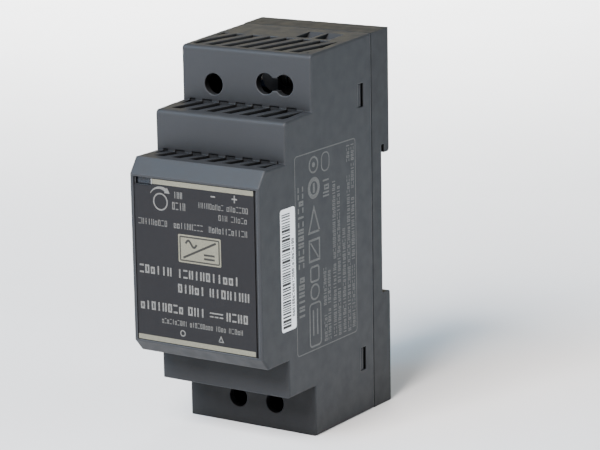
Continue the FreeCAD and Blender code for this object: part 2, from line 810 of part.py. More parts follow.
def input_choke():
    """Ring core on a base, with two windings."""
    x = "9"

    def ring(name, play):
        """The core's ring, made larger all round by the play."""
        middle = ahead("7.2")
        outside = rod_upward(name, f"4.2 + {play}", x, middle, (f"20.9 - {play}", f"24.9 + {play}"))
        hole = rod_upward(f"{name}_hole", f"2.4 - {play}", x, middle, ("20", "26"))
        return cut(f"{name}_cut", outside, [hole])

    keep(ring("choke_ring", "0"), "choke_core")
    windings = []
    for side in ("-1", "1"):
        reach = f"{x} + ({side}) * 3.3"
        coil = block("winding_coil", (f"{reach} - 1.6", f"{reach} + 1.6"), (ahead("4.6"), ahead("9.8")),
                     ("20.1", "25.7"))
        windings.append(cut("winding", coil, [ring("winding_bed", "0.06")]))
    keep(group("choke_windings_group", windings), "choke_windings")
    keep(block("base", ("3.9", "14.1"), (ahead("0"), ahead("1.4")), ("19.2", "26.6")), "choke_base")


def bridge_rectifier():
    """Flat rectifier that stands on four legs."""
    body = block("bridge_body", ("-4.8", "3.4"), (ahead("2"), ahead("10")), ("24.4", "27"))
    legs = [block("bridge_leg", (f"{x} - 0.4", f"{x} + 0.4"), (ahead("-2"), ahead("3")), ("25.4", "25.9"))
            for x in ("-4", "-1.8", "0.4", "2.6")]
    return keep(fuse("bridge", [body] + legs), "bridge_rectifier")


def power_stage(node, sink_node, side, z_middle, sink_z):
    """A three-legged power device on its aluminium plate; side is -1 for left, 1 for right."""
    outer = "board_half - 0.1"
    face = f"{outer} - sink_thickness"

    def span(near, far):
        """The x range between two distances from the middle plane, on this side."""
        return (f"-({far})", f"-({near})") if side < 0 else (near, far)

    plate = block(sink_node + "_plate", span(face, outer), (ahead("0.6"), ahead("sink_out")), sink_z)
    lip = block(sink_node + "_lip", span(f"{face} - 4.5", outer),
                (ahead("sink_out - sink_thickness"), ahead("sink_out")), sink_z)
    bore = rod_sideways(sink_node + "_bore", "fixing_radius + 0.1", span("6", "16"),
                        ahead("package_hole_out"), z_middle)
    keep(cut(sink_node + "_cut", fuse(sink_node + "_bent", [plate, lip]), [bore]), sink_node)

    ends = (f"{z_middle} - package_half", f"{z_middle} + package_half")
    moulding = block(node + "_moulding", span(f"{face} - package_thickness", face),
                     (ahead("package_out"), ahead("package_out + 9")), ends)
    tab = block(node + "_tab", span(f"{face} - tab_thickness", face),
                (ahead("package_out"), ahead("package_out + package_height")), ends)
    hole = rod_sideways(node + "_hole", "fixing_radius + 0.1", span("5", "16"),
                        ahead("package_hole_out"), z_middle)
    leg_side = span(f"{face} - 2.9", f"{face} - 2.4")
    legs = [block(node + "_leg", leg_side, (ahead("-2"), ahead("package_out + 1")),
                  (f"{z_middle} + ({offset}) - 0.4", f"{z_middle} + ({offset}) + 0.4"))
            for offset in ("-2.54", "0", "2.54")]
    keep(cut(node + "_cut", fuse(node + "_fused", [moulding, tab] + legs), [hole]), node)

    head = rod_sideways(node + "_head", "2.6", span(outer, f"{outer} + 1.3"),
                        ahead("package_hole_out"), z_middle)
    shank_span = span(f"{face} - tab_thickness - 2.8", f"{outer} + 0.5")
    shank = rod_sideways(node + "_shank", "fixing_radius", shank_span, ahead("package_hole_out"), z_middle)
    screw = fuse(node + "_screw", [head, shank])

    nut = doc.addObject("Part::Prism", node + "_nut")
    nut.Polygon = 6
    nut.Placement = FreeCAD.Placement(FreeCAD.Vector(), FreeCAD.Rotation(FreeCAD.Vector(0, 1, 0), 90))
    nut_span = span(f"{face} - tab_thickness - 2.4", f"{face} - tab_thickness")
    drive(nut, "Circumradius", "3.1")
    drive(nut, "Height", f"({nut_span[1]}) - ({nut_span[0]})")
    drive(nut, "Placement.Base.x", nut_span[0])
    drive(nut, "Placement.Base.y", y_at(ahead("package_hole_out")))
    drive(nut, "Placement.Base.z", z_middle)
    nut_bore = rod_sideways(node + "_nut_bore", "fixing_radius + 0.02", span("4", "16"),
                            ahead("package_hole_out"), z_middle)
    return screw, cut(node + "_nut_cut", nut, [nut_bore])


def power_stages():
    """Switch and rectifier stages, with their identical screws and nuts grouped."""
    left = power_stage("power_mosfet", "mosfet_heatsink", -1, "35.2", ("26.4", "45"))
    right = power_stage("output_diode", "diode_heatsink", 1, "67.4", ("61", "73"))
    keep(group("screw_group", [left[0], right[0]]), "heatsink_screws")
    keep(group("nut_group", [left[1], right[1]]), "heatsink_nuts")


def transformer():
    """Ferrite core with two windows, a bobbin on its middle leg and the winding round it."""
    def beside(offset):
        return f"transformer_x + ({offset})"

    def level(offset):
        return f"transformer_z + ({offset})"

    def square(name, x, out, z):
        """A box round the transformer's middle; x, out and z are pairs of offsets."""
        depths = (ahead(out[0]), ahead(out[1]))
        return block(name, (beside(x[0]), beside(x[1])), depths, (level(z[0]), level(z[1])))

    core = new_body("core_body")
    face = new_sketch(core, "core_face", "XY_Plane", "transformer_z")
    outlines = [("core_half", "core_low", "core_high"), ("7.2", "4.5", "8.5"), ("7.2", "13.5", "17.5")]
    for half, low, high in outlines:
        rectangle(face, (beside(f"-{half}"), beside(half)), (y_at(ahead(high)), y_at(ahead(low))))
    pad(core, face, "core_thickness", symmetric=True)
    keep(core, "transformer_core")

    tube = square("bobbin_tube", ("-7", "7"), ("7.3", "14.7"), ("-4.4", "4.4"))
    flanges = [square("bobbin_flange", ends, ("4.8", "17.2"), ("-7.4", "7.4"))
               for ends in (("-7", "-6.3"), ("6.3", "7"))]
    legs = [square("bobbin_leg", ends, ("1", "6"), sides)
            for ends in (("-7", "-6.3"), ("6.3", "7")) for sides in (("-7.4", "-3.4"), ("3.4", "7.4"))]
    foot = square("bobbin_foot", ("-9.6", "9.6"), ("0", "1.8"), ("-7.4", "7.4"))
    passage = square("bobbin_passage", ("-8", "8"), ("8.2", "13.8"), ("-3.3", "3.3"))
    bobbin = fuse("bobbin_solid", [tube, foot] + flanges + legs)
    keep(cut("bobbin_cut", bobbin, [passage]), "transformer_bobbin")

    coil = square("coil_block", ("-6.2", "6.2"), ("4.9", "17.1"), ("-7.1", "7.1"))
    core_hole = square("coil_hole", ("-8", "8"), ("7.3", "14.7"), ("-4.4", "4.4"))
    keep(cut("coil_cut", coil, [core_hole]), "transformer_winding")


def output_choke():
    """Drum core with a winding in its waist."""
    drum = [("0", "0"), ("3.1", "0"), ("3.1", "1.3"), ("1.6", "1.3"), ("1.6", "7.7"), ("3.1", "7.7"),
            ("3.1", "9"), ("0", "9")]
    keep(turned("drum", "-1.7", "79.4", "0", drum), "output_choke_core")
    coil = [("1.65", "1.4"), ("2.8", "1.4"), ("2.8", "7.6"), ("1.65", "7.6")]
    keep(turned("drum_coil", "-1.7", "79.4", "0", coil), "output_choke_winding")


def small_parts():
    """Optocoupler on the component side, controller and chip resistors on the solder side."""
    body = block("opto_body", ("-13.8", "-10.2"), (ahead("0.4"), ahead("3.8")), ("49", "55.4"))
    legs = [block("opto_leg", (f"{x} - 0.25", f"{x} + 0.25"), (ahead("-1.8"), ahead("1")),
                  (f"{z} - 0.5", f"{z} + 0.5"))
            for x in ("-13.5", "-10.5") for z in ("50.6", "53.4")]
    keep(fuse("opto", [body] + legs), "optocoupler")
    controller = block("controller", ("-4.5", "-0.5"), ("board_rear - 1.5", "board_rear"), ("46", "51"))
    keep(controller, "controller_chip")
    chips = [block("chip", (f"{x} - 1", f"{x} + 1"), ("board_rear - 0.6", "board_rear"),
                   (f"{z} - 0.6", f"{z} + 0.6"))
             for x in (-7.5, -4, 3, 6.5) for z in (41, 56, 66)]
    keep(group("chip_group", chips), "chip_resistors")


# ---- terminals ---------------------------------------------------------------------------------

def terminal_block(node, xs, screw_z, inward, outer_z):
    """Insulating block: under each screw a chamber for the cage, open to the wire side.

    inward is the direction in z, 1 or -1, from the wire side to the middle of the board.
    """
    inner_z = f"{screw_z} + ({inward}) * block_inner"
    body = block(node + "_body", (f"{xs[0]} - block_margin", f"{xs[-1]} + block_margin"),
                 (ahead("0"), ahead("block_out")), sorted_z(outer_z, inner_z))
    tools = []
    for x in xs:
        sides = (f"{x} - chamber_half", f"{x} + chamber_half")
        reach = (f"{screw_z} - chamber_reach", f"{screw_z} + chamber_reach")
        tools.append(block(node + "_chamber", sides, (ahead("0.9"), ahead("chamber_out")), reach))
        tools.append(block(node + "_entry", sides, (ahead("0.9"), ahead("7")),
                           sorted_z(screw_z, f"{outer_z} - ({inward})")))
        tools.append(block(node + "_bar_slot", (f"{x} - bar_half - 0.1", f"{x} + bar_half + 0.1"),
                           (ahead("bar_out - 0.1"), ahead("bar_out + bar_thickness + 0.1")),
                           sorted_z(screw_z, f"{inner_z} + ({inward})")))
        tools.append(rod_forward(node + "_neck", "screw_radius + 0.1", x,
                                 (ahead("chamber_out - 1"), ahead("block_out")), screw_z))
        tools.append(rod_forward(node + "_well", "screw_head + 0.15", x,
                                 (ahead("shelf_out"), ahead("block_out + 1")), screw_z))
    keep(cut(node + "_cut", body, tools), node)


def terminal_screw(node, x, z):
    """Slotted clamping screw."""
    top = "block_out - 0.5"
    profile = [
        ("0", "screw_end"), ("screw_radius - 0.3", "screw_end"), ("screw_radius", "screw_end + 0.4"),
        ("screw_radius", "shelf_out + 0.05"), ("screw_head", "shelf_out + 0.05"),
        ("screw_head", f"{top} - 0.25"), ("screw_head - 0.25", top), ("0", top),
    ]
    screw = turned(node + "_turned", x, z, "0", profile)
    slot = new_sketch(screw, node + "_slot", "XZ_Plane", top)
    rectangle(slot, ("-0.35", "0.35"), ("-screw_head - 0.5", "screw_head + 0.5"))
    pocket(screw, slot, "0.9")
    keep(screw, node)


def clamp_cage(node, x, z):
    """Rising cage: a loop for the wire, with a threaded roof that the screw draws up."""
    loop = block(node + "_loop", (f"{x} - cage_half", f"{x} + cage_half"),
                 (ahead("cage_low"), ahead("cage_high")), (f"{z} - cage_reach", f"{z} + cage_reach"))
    passage = block(node + "_passage", (f"{x} - cage_half + cage_side", f"{x} + cage_half - cage_side"),
                    (ahead("cage_low + cage_floor"), ahead("cage_high - cage_roof")),
                    (f"{z} - cage_reach - 1", f"{z} + cage_reach + 1"))
    thread = rod_forward(node + "_thread", "screw_radius + 0.05", x,
                         (ahead("cage_high - cage_roof - 1"), ahead("cage_high + 1")), z)
    keep(cut(node + "_cut", loop, [passage, thread]), node)


def contact_bar(node, x, z, inward):
    """Bent strip: a tongue inside the cage, and a tail through the board."""
    half = "bar_half"
    tongue_start = f"{z} - ({inward}) * (cage_reach - 0.3)"
    bend = f"{z} + ({inward}) * (block_inner + 1.2)"
    drop = f"{z} + ({inward}) * (block_inner + 0.4)"
    tongue = block(node + "_tongue", (f"{x} - {half}", f"{x} + {half}"),
                   (ahead("bar_out"), ahead("bar_out + bar_thickness")), sorted_z(tongue_start, bend))
    riser = block(node + "_riser", (f"{x} - {half}", f"{x} + {half}"),
                  (ahead("0.1"), ahead("bar_out + bar_thickness")), sorted_z(drop, bend))
    tail = block(node + "_tail", (f"{x} - pin_half", f"{x} + pin_half"), (ahead("-3.2"), ahead("0.5")),
                 sorted_z(drop, bend))
    keep(fuse(node + "_fused", [tongue, riser, tail]), node)


def terminals():
    """The two terminal rows."""
    terminal_block("output_terminal_block", ("minus_x", "plus_x"), "output_z", -1, "output_block_top")
    terminal_block("input_terminal_block", ("neutral_x", "line_x"), "input_z", 1, "input_block_bottom")
    poles = [("minus", "output_z", -1), ("plus", "output_z", -1),
             ("neutral", "input_z", 1), ("line", "input_z", 1)]
    for pole, z, inward in poles:
        terminal_screw(f"terminal_screw_{pole}", f"{pole}_x", z)
        clamp_cage(f"clamp_cage_{pole}", f"{pole}_x", z)
        contact_bar(f"contact_bar_{pole}", f"{pole}_x", z, inward)


def trimmer():
    """Output voltage adjuster: a square body with a well, and its slotted rotor."""
    sides = ("adjust_x - trimmer_half", "adjust_x + trimmer_half")
    ends = ("adjust_z - trimmer_half", "adjust_z + trimmer_half")
    body = block("trimmer_box", sides, (ahead("0"), ahead("trimmer_height")), ends)
    well = rod_forward("trimmer_well", "rotor_radius + 0.06", "adjust_x",
                       (ahead("2.4"), ahead("trimmer_height + 1")), "adjust_z")
    keep(cut("trimmer_cut", body, [well]), "trimmer_body")
    profile = [("0", "2.46"), ("rotor_radius", "2.46"), ("rotor_radius", "trimmer_height"),
               ("rotor_radius - 0.3", "trimmer_height + 0.3"), ("0", "trimmer_height + 0.3")]
    rotor = turned("rotor_turned", "adjust_x", "adjust_z", "0", profile)
    slot = new_sketch(rotor, "rotor_slot", "XZ_Plane", "trimmer_height + 0.3")
    rectangle(slot, ("-0.3", "0.3"), ("-rotor_radius * 0.75", "rotor_radius * 0.75"))
    pocket(rotor, slot, "0.8")
    pointer = new_sketch(rotor, "rotor_pointer", "XZ_Plane", "trimmer_height + 0.3")
    rectangle(pointer, ("-0.9", "0.9"), ("0.5", "0.95"))
    pocket(rotor, pointer, "0.8")
    keep(rotor, "trimmer_rotor")


def check_and_write():
    """Stop on any failed object or bad shape, then write one file for each node."""
    doc.recompute()
    for thing in doc.Objects:
        if "Invalid" in thing.State or "Error" in thing.State:
            raise RuntimeError(f"{thing.Name} ({thing.Label}) failed: {thing.State}")
    for thing in nodes:
        shape = thing.Shape
        if shape.isNull() or not shape.isValid() or not shape.Solids:
            raise RuntimeError(f"{thing.Label} has no valid solid")
    os.makedirs("parts", exist_ok=True)
    for thing in nodes:
        thing.Shape.exportStep(f"parts/{thing.Label}.step")
        print(f"{thing.Label}: {len(thing.Shape.Solids)} solid, {thing.Shape.Volume:.1f} mm3")


fill_sheet()
front_housing()
rear_cover()
front_label()
indicator_light_pipe()
serial_label()
rail_clip()
clip_spring()
main_board()
insulation_film()
status_led()
can_capacitor("bulk_capacitor", "bulk_x", "bulk_z", "bulk_radius", "bulk_length")
can_capacitor("output_capacitor_left", "-9.9", "output_can_z", "output_can_radius", "output_can_length")
can_capacitor("output_capacitor_right", "-1.2", "output_can_z", "output_can_radius", "output_can_length")
fuse_and_discs()
x_capacitor()
input_choke()
bridge_rectifier()
power_stages()
transformer()
output_choke()
small_parts()
terminals()
trimmer()
check_and_write()
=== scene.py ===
import bmesh
import bpy
import json
import math
import random
from mathutils import Matrix, Vector


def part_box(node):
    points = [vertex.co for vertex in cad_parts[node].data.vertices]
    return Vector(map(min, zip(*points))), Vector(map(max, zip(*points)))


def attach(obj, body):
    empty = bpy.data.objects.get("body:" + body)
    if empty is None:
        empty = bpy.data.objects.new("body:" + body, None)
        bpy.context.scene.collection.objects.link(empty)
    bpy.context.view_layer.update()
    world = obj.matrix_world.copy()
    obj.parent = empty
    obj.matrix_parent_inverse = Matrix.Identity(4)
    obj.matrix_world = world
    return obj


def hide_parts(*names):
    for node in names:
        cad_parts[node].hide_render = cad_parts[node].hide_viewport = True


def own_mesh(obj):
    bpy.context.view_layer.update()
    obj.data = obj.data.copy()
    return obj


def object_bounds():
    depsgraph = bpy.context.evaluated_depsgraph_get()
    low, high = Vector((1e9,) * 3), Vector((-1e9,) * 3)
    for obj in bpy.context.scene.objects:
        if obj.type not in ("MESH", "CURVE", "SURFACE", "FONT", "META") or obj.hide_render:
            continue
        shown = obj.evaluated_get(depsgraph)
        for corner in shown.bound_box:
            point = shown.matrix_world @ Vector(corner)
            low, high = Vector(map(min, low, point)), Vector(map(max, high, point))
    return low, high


# Looks of the slim top-hat rail power supply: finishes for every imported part, the print on its label
# and right side, its bar sticker, the wound coils, the foot's spring, and the studio. Lengths are in
# millimetres and become metres through MM. On the label, u runs to the right from the middle and v up
# from the bottom. On the right side, u runs up from the bottom and v forward from the rear face.

MM = 0.001
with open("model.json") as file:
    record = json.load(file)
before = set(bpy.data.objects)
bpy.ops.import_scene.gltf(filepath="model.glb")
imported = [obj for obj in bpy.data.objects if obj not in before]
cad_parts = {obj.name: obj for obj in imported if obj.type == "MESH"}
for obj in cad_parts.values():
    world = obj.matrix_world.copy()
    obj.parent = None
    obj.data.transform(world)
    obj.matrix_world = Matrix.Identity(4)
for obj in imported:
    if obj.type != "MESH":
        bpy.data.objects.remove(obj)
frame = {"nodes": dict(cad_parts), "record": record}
CAD_LOW, CAD_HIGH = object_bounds()

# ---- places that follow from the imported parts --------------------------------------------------

LABEL_LOW, LABEL_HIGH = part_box("front_label")
STICKER_LOW, STICKER_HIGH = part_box("serial_label")
HOUSING_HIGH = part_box("front_housing")[1]
LABEL_LEFT, LABEL_FACE, LABEL_BASE = LABEL_LOW / MM
LABEL_RIGHT, LABEL_TOP = LABEL_HIGH.x / MM, LABEL_HIGH.z / MM
SIDE_FACE = HOUSING_HIGH.x / MM
REAR_FACE = CAD_HIGH.y / MM
INK_THICKNESS = 0.03


# ---- finishes ----------------------------------------------------------------------------------

BLACK = (0.0005, 0.0005, 0.0005)
# Painted shade: every finish's colour darkens towards black where the surface is shut in within this reach,
# as under overhangs and inside holes.
PAINTED_SHADE_REACH, PAINTED_SHADE_CLEAR, PAINTED_SHADE_SHARE = 30, 0.76, 0.85
# Reach of the painted shade in the slots of moulded parts, in millimetres.
SLOT_SHADE_REACH = 3.5


class Finish:
    """A procedural material whose node tree is built by short calls."""

    def __init__(self, name, colour=(0.5, 0.5, 0.5), rough=0.5, **constants):
        self.material = bpy.data.materials.new(name)
        self.material.use_nodes = True
        self.nodes = self.material.node_tree.nodes
        self.links = self.material.node_tree.links
        self.shader = self.nodes["Principled BSDF"]
        self.give(self.shader, "Base Color", colour)
        self.give(self.shader, "Roughness", rough)
        for socket, constant in constants.items():
            self.give(self.shader, socket.replace("_", " "), constant)
        self.place = self.add("ShaderNodeTexCoord").outputs["Object"]
        self.normal = None

    def give(self, node, socket, source):
        """Set one input to a number or colour, or link it to an output."""
        if isinstance(source, bpy.types.NodeSocket):
            self.links.new(source, node.inputs[socket])
        elif isinstance(source, tuple) and len(source) == 3 and node.inputs[socket].type == "RGBA":
            node.inputs[socket].default_value = (*source, 1)
        else:
            node.inputs[socket].default_value = source

    def add(self, kind, settings=None, **inputs):
        """A node with its settings and inputs; an input named i0, i1 ... is taken by number."""
        node = self.nodes.new(kind)
        for key, setting in (settings or {}).items():
            setattr(node, key, setting)
        for key, source in inputs.items():
            numbered = key[0] == "i" and key[1:].isdigit()
            self.give(node, int(key[1:]) if numbered else key, source)
        return node

    def stretched(self, stretch):
        """The object coordinates scaled along each axis."""
        return self.add("ShaderNodeMapping", Vector=self.place, Scale=stretch).outputs["Vector"]

    def noise(self, size, detail=2.0, stretch=(1, 1, 1)):
        """Cloudy noise, 0 to 1, with features of about that size in millimetres."""
        return self.add("ShaderNodeTexNoise", Vector=self.stretched(stretch), Scale=1 / (size * MM),
                        Detail=detail).outputs["Fac"]

    def cells(self, size, stretch=(1, 1, 1)):
        """Distance inside cells of about that size in millimetres."""
        return self.add("ShaderNodeTexVoronoi", Vector=self.stretched(stretch),
                        Scale=1 / (size * MM)).outputs["Distance"]

    def bands(self, spacing, axis, distort=0.0):
        """Soft bands across one axis, a spacing in millimetres apart; a wave at scale 1 is tau / 20 long."""
        return self.add("ShaderNodeTexWave", {"bands_direction": axis}, Vector=self.place,
                        Scale=math.tau / 20 / (spacing * MM), Distortion=distort).outputs["Fac"]

    def span(self, source, low, high, to_low=0.0, to_high=1.0):
        """The source's stretch from low to high, spread over a new range and held at its ends."""
        node = self.add("ShaderNodeMapRange", Value=source)
        for socket, size in (("From Min", low), ("From Max", high), ("To Min", to_low), ("To Max", to_high)):
            self.give(node, socket, size)
        return node.outputs["Result"]

    def maths(self, operation, first, second=0.0):
        """One step of arithmetic."""
        return self.add("ShaderNodeMath", {"operation": operation}, i0=first, i1=second).outputs[0]

    def mix(self, share, first, second):
        """A blend of two colours."""
        node = self.add("ShaderNodeMix", {"data_type": "RGBA"}, Factor=share)
        for socket, colour in ((6, first), (7, second)):
            self.give(node, socket, (*colour, 1) if isinstance(colour, tuple) else colour)
        return node.outputs[2]

    def soften(self, radius):
        """Round every hard edge's shading by a radius in millimetres; returns how much it turned."""
        bevel = self.add("ShaderNodeBevel", {"samples": 6}, Radius=radius * MM)
        self.normal = bevel.outputs["Normal"]
        plain = self.add("ShaderNodeNewGeometry").outputs["Normal"]
        dot = self.add("ShaderNodeVectorMath", {"operation": "DOT_PRODUCT"}, i0=self.normal, i1=plain)
        unturned, turned = 0.995, 0.86
        return self.span(dot.outputs["Value"], unturned, turned)

    def hollows(self, reach, clear=0.8):
        """1 on open faces, falling to 0 in slots and corners narrower than the reach in millimetres."""
        open_sky = self.add("ShaderNodeAmbientOcclusion", {"samples": 8}, Distance=reach * MM)
        shut = 0.25
        return self.span(open_sky.outputs["AO"], shut, clear)

    def raise_by(self, height, depth, strength=1.0):
        """Add relief of a depth in millimetres on top of the relief so far."""
        bump = self.add("ShaderNodeBump", Height=height, Distance=depth * MM, Strength=strength)
        if self.normal is not None:
            self.give(bump, "Normal", self.normal)
        self.normal = bump.outputs["Normal"]

    def colour(self, source):
        """Set the surface colour, with painted shade darkening it towards black where the part is shut in by
        its neighbours.
        """
        # Painted shade, mixed in by how shut in the surface is.
        shaded_colour = self.mix(PAINTED_SHADE_SHARE, source, BLACK)
        unshaded_share = self.hollows(PAINTED_SHADE_REACH, PAINTED_SHADE_CLEAR)
        self.give(self.shader, "Base Color", self.mix(unshaded_share, shaded_colour, source))

    def rough(self, source):
        """Set the surface roughness."""
        self.give(self.shader, "Roughness", source)

    def done(self):
        """The finished material."""
        if self.normal is not None:
            self.give(self.shader, "Normal", self.normal)
        return self.material


def shade(colour, factor):
    """A colour made lighter or darker."""
    return tuple(min(1.0, part * factor) for part in colour)


def moulded(name, colour, rough, grain=0.22, relief=0.012, edge=0.22, edge_wear_and_highlight=2.4):
    """Spark-eroded moulded plastic: fine pits, flow marks, edges paler from rubbing and a painted highlight,
    and painted shade darkening the slots.
    """
    finish = Finish(name, rough=rough, Specular_IOR_Level=0.19)
    edge_mask = finish.soften(edge)
    pits = finish.noise(grain, detail=4)
    flow = finish.noise(9, detail=3, stretch=(1, 1, 0.35))
    speck = finish.span(finish.cells(0.9), 0.0, 0.16)
    tone = finish.mix(finish.span(flow, 0.3, 0.7), shade(colour, 0.97), shade(colour, 1.03))
    tone = finish.mix(finish.span(pits, 0.35, 0.65, 0.0, 0.45), tone, shade(colour, 0.86))
    tone = finish.mix(finish.span(speck, 0.0, 1.0, 0.22, 0.0), tone, shade(colour, 1.3))
    # Paler edges, partly rubbed wear and partly a painted highlight along every edge.
    tone = finish.mix(finish.maths("MULTIPLY", edge_mask, 0.75), tone, shade(colour, edge_wear_and_highlight))
    # Painted shade: slots and corners narrower than the slot reach darken to a quarter of the colour.
    finish.colour(finish.mix(finish.hollows(SLOT_SHADE_REACH), shade(colour, 0.25), tone))
    finish.rough(finish.span(finish.noise(3, detail=3), 0.3, 0.7, rough - 0.06, rough + 0.07))
    finish.raise_by(pits, relief, 0.7)
    return finish.done()


def printed_film(name, colour):
    """Printed polycarbonate film: near smooth, with a faint orange-peel and pale cut edges."""
    finish = Finish(name, Specular_IOR_Level=0.18)
    edge_mask = finish.soften(0.08)
    peel = finish.noise(0.5, detail=2)
    tone = finish.mix(finish.span(finish.noise(12), 0.3, 0.7), shade(colour, 0.95), shade(colour, 1.06))
    finish.colour(finish.mix(finish.maths("MULTIPLY", edge_mask, 0.4), tone, shade(colour, 1.8)))
    finish.rough(finish.span(finish.noise(1.5), 0.3, 0.7, 0.42, 0.54))
    finish.raise_by(peel, 0.006, 0.6)
    return finish.done()


def ink(name, colour, cover):
    """Screen-printed ink: slightly uneven cover with ragged density."""
    finish = Finish(name, Specular_IOR_Level=0.3)
    speckle = finish.noise(0.16, detail=3)
    cloud = finish.noise(2.6, detail=2)
    thin = finish.maths("MULTIPLY", finish.span(speckle, 0.42, 0.62), finish.span(cloud, 0.3, 0.7, 1.0, 0.5))
    finish.colour(finish.mix(thin, shade(colour, cover), colour))
    finish.rough(finish.span(speckle, 0.3, 0.7, 0.5, 0.68))
    finish.raise_by(speckle, 0.004, 0.6)
    return finish.done()


def paper(name, colour):
    """Coated label paper with faint fibres."""
    finish = Finish(name, Specular_IOR_Level=0.3)
    fibre = finish.noise(0.35, detail=4, stretch=(1, 3, 0.5))
    finish.colour(finish.mix(finish.span(fibre, 0.35, 0.65), shade(colour, 0.94), colour))
    finish.rough(finish.span(fibre, 0.3, 0.7, 0.45, 0.6))
    finish.raise_by(fibre, 0.006, 0.5)
    return finish.done()


def smoky_clear(name, colour):
    """Tinted clear acrylic with faint flow lines."""
    finish = Finish(name, Transmission_Weight=0.3, IOR=1.49, Specular_IOR_Level=0.15)
    flow = finish.noise(1.1, detail=2, stretch=(0.4, 1, 1))
    finish.colour(finish.mix(finish.span(flow, 0.3, 0.7), shade(colour, 0.85), shade(colour, 1.15)))
    finish.rough(finish.span(flow, 0.3, 0.7, 0.2, 0.3))
    finish.raise_by(flow, 0.01, 0.5)
    return finish.done()


def metal(name, colour, rough, stretch, grain=0.25, relief=0.006, tarnish=0.8):
    """Metal with fine drawn or brushed marks and cloudy tarnish."""
    finish = Finish(name, Metallic=1.0)
    edge_mask = finish.soften(0.08)
    marks = finish.noise(grain, detail=3, stretch=stretch)
    cloud = finish.noise(1.8, detail=3)
    tone = finish.mix(finish.span(cloud, 0.35, 0.7), colour, shade(colour, tarnish))
    finish.colour(finish.mix(finish.maths("MULTIPLY", edge_mask, 0.5), tone, shade(colour, 1.25)))
    finish.rough(finish.span(marks, 0.25, 0.75, rough - 0.08, rough + 0.1))
    finish.raise_by(marks, relief, 0.6)
    return finish.done()


def coated(name, colour, rough=0.35):
    """Dip-coated part: glossy lacquer with a lumpy skin."""
    finish = Finish(name, Specular_IOR_Level=0.5)
    lumps = finish.noise(0.9, detail=2)
    finish.colour(finish.mix(finish.span(lumps, 0.3, 0.7), shade(colour, 0.85), shade(colour, 1.12)))
    finish.rough(finish.span(finish.noise(0.3), 0.3, 0.7, rough - 0.07, rough + 0.08))
    finish.raise_by(lumps, 0.08, 0.6)
    return finish.done()


def solder_mask(name, colour, copper):
    """Board laminate: woven glass under green mask, with raised tracks."""
    finish = Finish(name, Specular_IOR_Level=0.55)
    weave = finish.maths("MULTIPLY", finish.bands(0.45, "X"), finish.bands(0.45, "Z"))
    tracks = finish.span(finish.cells(5, stretch=(1, 0.05, 1)), 0.42, 0.46)
    tone = finish.mix(finish.span(weave, 0.2, 0.8, 0.0, 0.35), colour, shade(colour, 0.75))
    finish.colour(finish.mix(finish.maths("MULTIPLY", tracks, 0.6), tone, copper))
    finish.rough(finish.span(finish.noise(0.6), 0.3, 0.7, 0.24, 0.36))
    finish.raise_by(tracks, 0.035, 0.8)
    finish.raise_by(weave, 0.006, 0.5)
    return finish.done()


def ferrite(name, colour):
    """Ground ferrite: dense, dark and finely pitted."""
    finish = Finish(name, Specular_IOR_Level=0.55)
    edge_mask = finish.soften(0.15)
    pits = finish.span(finish.cells(0.35), 0.05, 0.3)
    tone = finish.mix(pits, shade(colour, 0.6), colour)
    finish.colour(finish.mix(finish.maths("MULTIPLY", edge_mask, 0.5), tone, shade(colour, 1.8)))
    finish.rough(finish.span(finish.noise(0.8), 0.3, 0.7, 0.4, 0.55))
    finish.raise_by(pits, 0.02, 0.7)
    return finish.done()


def enamelled_wire(name, colour):
    """Enamelled copper wire with a glossy amber coat."""
    finish = Finish(name, Metallic=0.75, Coat_Weight=0.6, Coat_Roughness=0.12)
    cloud = finish.noise(1.2, detail=2)
    finish.colour(finish.mix(finish.span(cloud, 0.3, 0.7), shade(colour, 0.75), shade(colour, 1.15)))
    finish.rough(finish.span(cloud, 0.3, 0.7, 0.24, 0.34))
    finish.raise_by(finish.noise(0.3), 0.006, 0.5)
    return finish.done()


def film_tape(name, colour):
    """Polyester tape wound in overlapping turns."""
    finish = Finish(name, Specular_IOR_Level=0.5)
    laps = finish.bands(2.4, "X", distort=0.4)
    finish.colour(finish.mix(finish.span(laps, 0.85, 0.97), colour, shade(colour, 0.7)))
    finish.rough(finish.span(finish.noise(1.5), 0.3, 0.7, 0.22, 0.34))
    finish.raise_by(laps, 0.05, 0.6)
    return finish.done()


def can_sleeve(name, colour, stripe):
    """Shrink sleeve of a can capacitor with its pale marking stripe."""
    finish = Finish(name, Specular_IOR_Level=0.5)
    wrinkle = finish.noise(1.6, detail=2, stretch=(1, 0.3, 1))
    band = finish.span(finish.bands(11, "X"), 0.93, 0.96)
    sleeve = finish.mix(finish.span(wrinkle, 0.3, 0.7), shade(colour, 0.8), colour)
    finish.colour(finish.mix(band, sleeve, stripe))
    finish.rough(finish.span(wrinkle, 0.3, 0.7, 0.26, 0.38))
    finish.raise_by(wrinkle, 0.03, 0.5)
    return finish.done()


SLATE = (0.022, 0.0235, 0.026)
PRINT = (0.15, 0.15, 0.143)
CREAM = (0.15, 0.146, 0.11)

